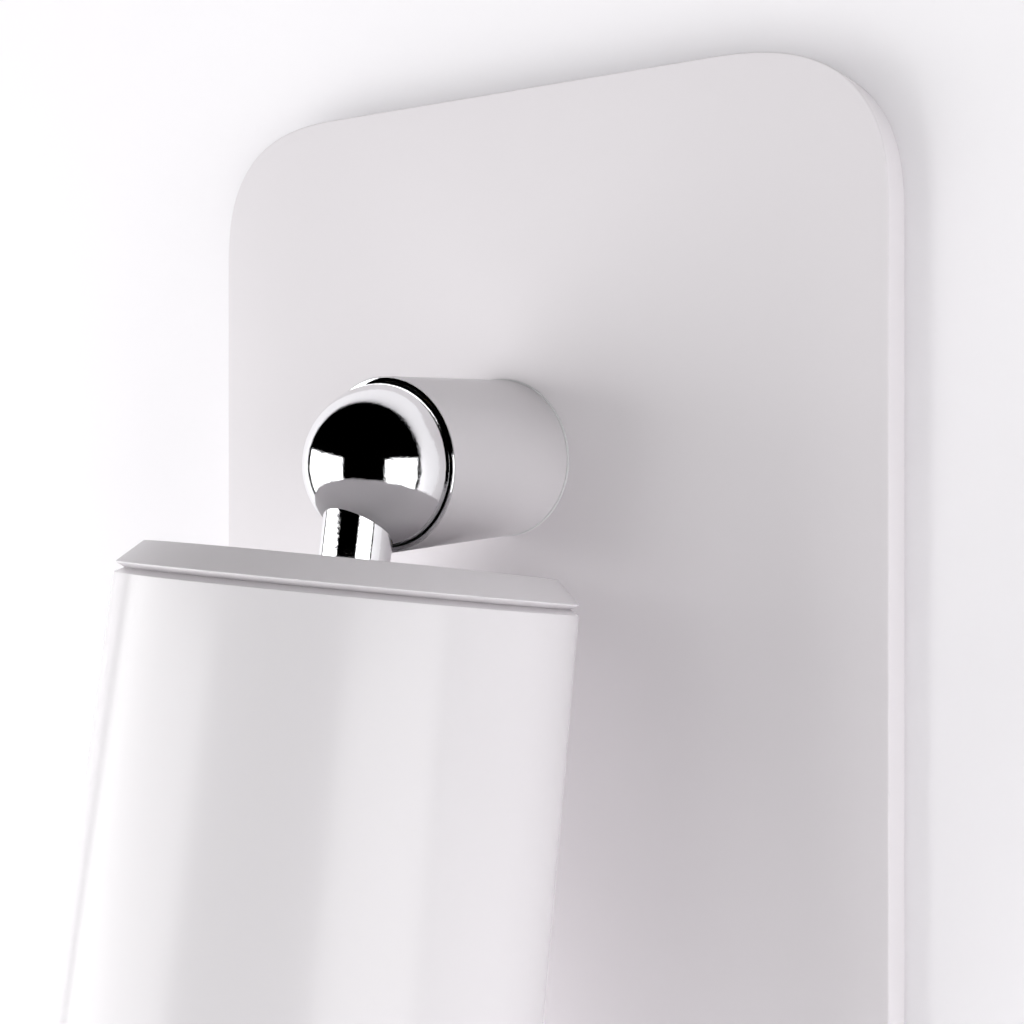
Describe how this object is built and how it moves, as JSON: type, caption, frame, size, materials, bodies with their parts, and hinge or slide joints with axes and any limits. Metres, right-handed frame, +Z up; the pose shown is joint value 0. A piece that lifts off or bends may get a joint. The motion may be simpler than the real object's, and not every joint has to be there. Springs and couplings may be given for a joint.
{
  "type": "adjustable wall spot lamp",
  "caption": "Adjustable wall spot lamp: rounded back plate, short round arm, chrome ball joint and a cylindrical shade that swivels and tilts.",
  "frame": {"origin": "on the wall plane, on the axis of the arm", "axes": "+Z up the wall, +Y into the wall, +X to the right seen from the front"},
  "size_m": [0.16, 0.1176, 0.2324],
  "materials": {
    "white_satin": "satin",
    "white_gloss": "gloss",
    "chrome_trim": "polished",
    "zinc_plate": "satin",
    "steel_screw": "satin",
    "brass_part": "satin",
    "seal_rubber": "matte",
    "terminal_plastic": "matte",
    "friction_plastic": "satin",
    "lead_insulation": "matte",
    "earth_insulation": "matte",
    "holder_ceramic": "satin",
    "lamp_plastic": "satin",
    "lens_plastic": "satin",
    "clear_glass": "polished"
  },
  "bodies": {
    "root": {"wall_bracket": "zinc_plate", "wall_gasket": "seal_rubber", "back_plate": "white_satin", "plate_screws": "steel_screw", "terminal_block": "terminal_plastic", "terminal_screws": "brass_part", "terminal_fixing": "steel_screw", "cable_grommet": "seal_rubber", "earth_stud": "brass_part", "earth_nut": "brass_part", "earth_lead": "earth_insulation", "supply_leads": "lead_insulation", "arm_seal": "seal_rubber", "arm_tube": "white_satin", "arm_screws": "steel_screw", "arm_collar": "chrome_trim", "arm_bush": "brass_part", "stop_pin": "steel_screw"},
    "swivel": {"spindle": "steel_screw", "swivel_washer": "friction_plastic", "spring_washer": "steel_screw", "swivel_nut": "steel_screw", "swivel_leads": "lead_insulation"},
    "head": {"ball": "chrome_trim", "knuckle": "brass_part", "tilt_pin": "steel_screw", "tilt_washers": "friction_plastic", "stem": "chrome_trim", "stem_tube": "zinc_plate", "stem_washer": "zinc_plate", "stem_nut": "zinc_plate", "cap": "white_satin", "shade": "white_gloss", "shade_screws": "steel_screw", "holder_strap": "zinc_plate", "holder_screws": "steel_screw", "lampholder": "holder_ceramic", "lamp_body": "lamp_plastic", "lamp_lens": "lens_plastic", "lamp_pins": "brass_part", "lamp_baffle": "white_satin", "glass_seal": "seal_rubber", "front_glass": "clear_glass", "glass_ring": "chrome_trim", "head_leads": "lead_insulation"}
  },
  "joints": [
    {"name": "head_swivel", "type": "hinge", "parent": "root", "child": "swivel", "pos_m": [0, -0.0471, 0], "axis": [0, -1, 0], "range_deg": [-160, 160]},
    {"name": "head_tilt", "type": "hinge", "parent": "swivel", "child": "head", "pos_m": [0, -0.0471, 0], "axis": [-1, 0, 0], "range_deg": [-3.8, 70.2]}
  ]
}
